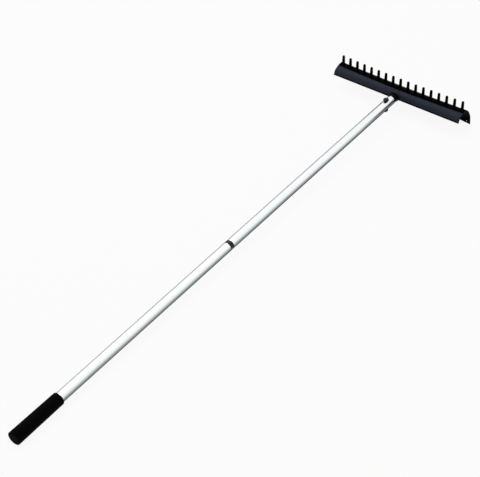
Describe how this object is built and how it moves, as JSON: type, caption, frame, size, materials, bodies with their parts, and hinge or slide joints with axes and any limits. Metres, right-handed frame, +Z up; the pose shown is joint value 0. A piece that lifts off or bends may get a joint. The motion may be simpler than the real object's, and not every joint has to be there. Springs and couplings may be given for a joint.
{
  "type": "bunker rake",
  "caption": "Long-handled bunker rake: an arched moulded head with a comb of tines, bolted to a two-section screwed tube handle with a rubber grip.",
  "frame": {"origin": "on the ground, under the middle of the rake's box, the rake lying with its tines up", "axes": "+Y along the handle towards the head, +X along the head, +Z up; the handle slopes 1.3 degrees up towards the head"},
  "size_m": [0.3944, 1.546, 0.0925],
  "materials": {
    "head_plastic": "satin slate black, fine moulded grain",
    "tine_plastic": "matte black",
    "socket_plastic": "slightly glossy black",
    "handle_aluminium": "satin anodised, drawn tube",
    "collar_plastic": "glossy black",
    "thread_aluminium": "machined",
    "grip_rubber": "matte black",
    "black_steel": "black oxide, satin"
  },
  "bodies": {
    "head_and_lower_handle": {"head_shell": "head_plastic", "tine_comb": "tine_plastic", "handle_socket": "socket_plastic", "lower_tube": "handle_aluminium", "thread_collar": "collar_plastic"},
    "upper_handle": {"upper_tube": "handle_aluminium", "threaded_spigot": "thread_aluminium", "grip_sleeve": "grip_rubber"},
    "bolt": {"head_bolt": "black_steel"},
    "nut": {"head_nut": "black_steel"}
  },
  "joints": [
    {"name": "handle_draw", "type": "slide", "parent": "head_and_lower_handle", "child": "upper_handle", "axis": [0, -0.9998, -0.0221], "range_m": [0, 0.06]},
    {"name": "bolt_turn", "type": "hinge", "parent": "head_and_lower_handle", "child": "bolt", "pos_m": [0, 0.64772, 0.04794], "axis": [0, -0.0221, 0.9998], "range_deg": [0, 2880]},
    {"name": "nut_travel", "type": "slide", "parent": "head_and_lower_handle", "child": "nut", "axis": [0, 0.0221, -0.9998], "range_m": [0, 0.0101]}
  ],
  "couplings": [
    {"joint": "nut_travel", "follows": "bolt_turn", "m_per_rad": 0.00019894}
  ]
}
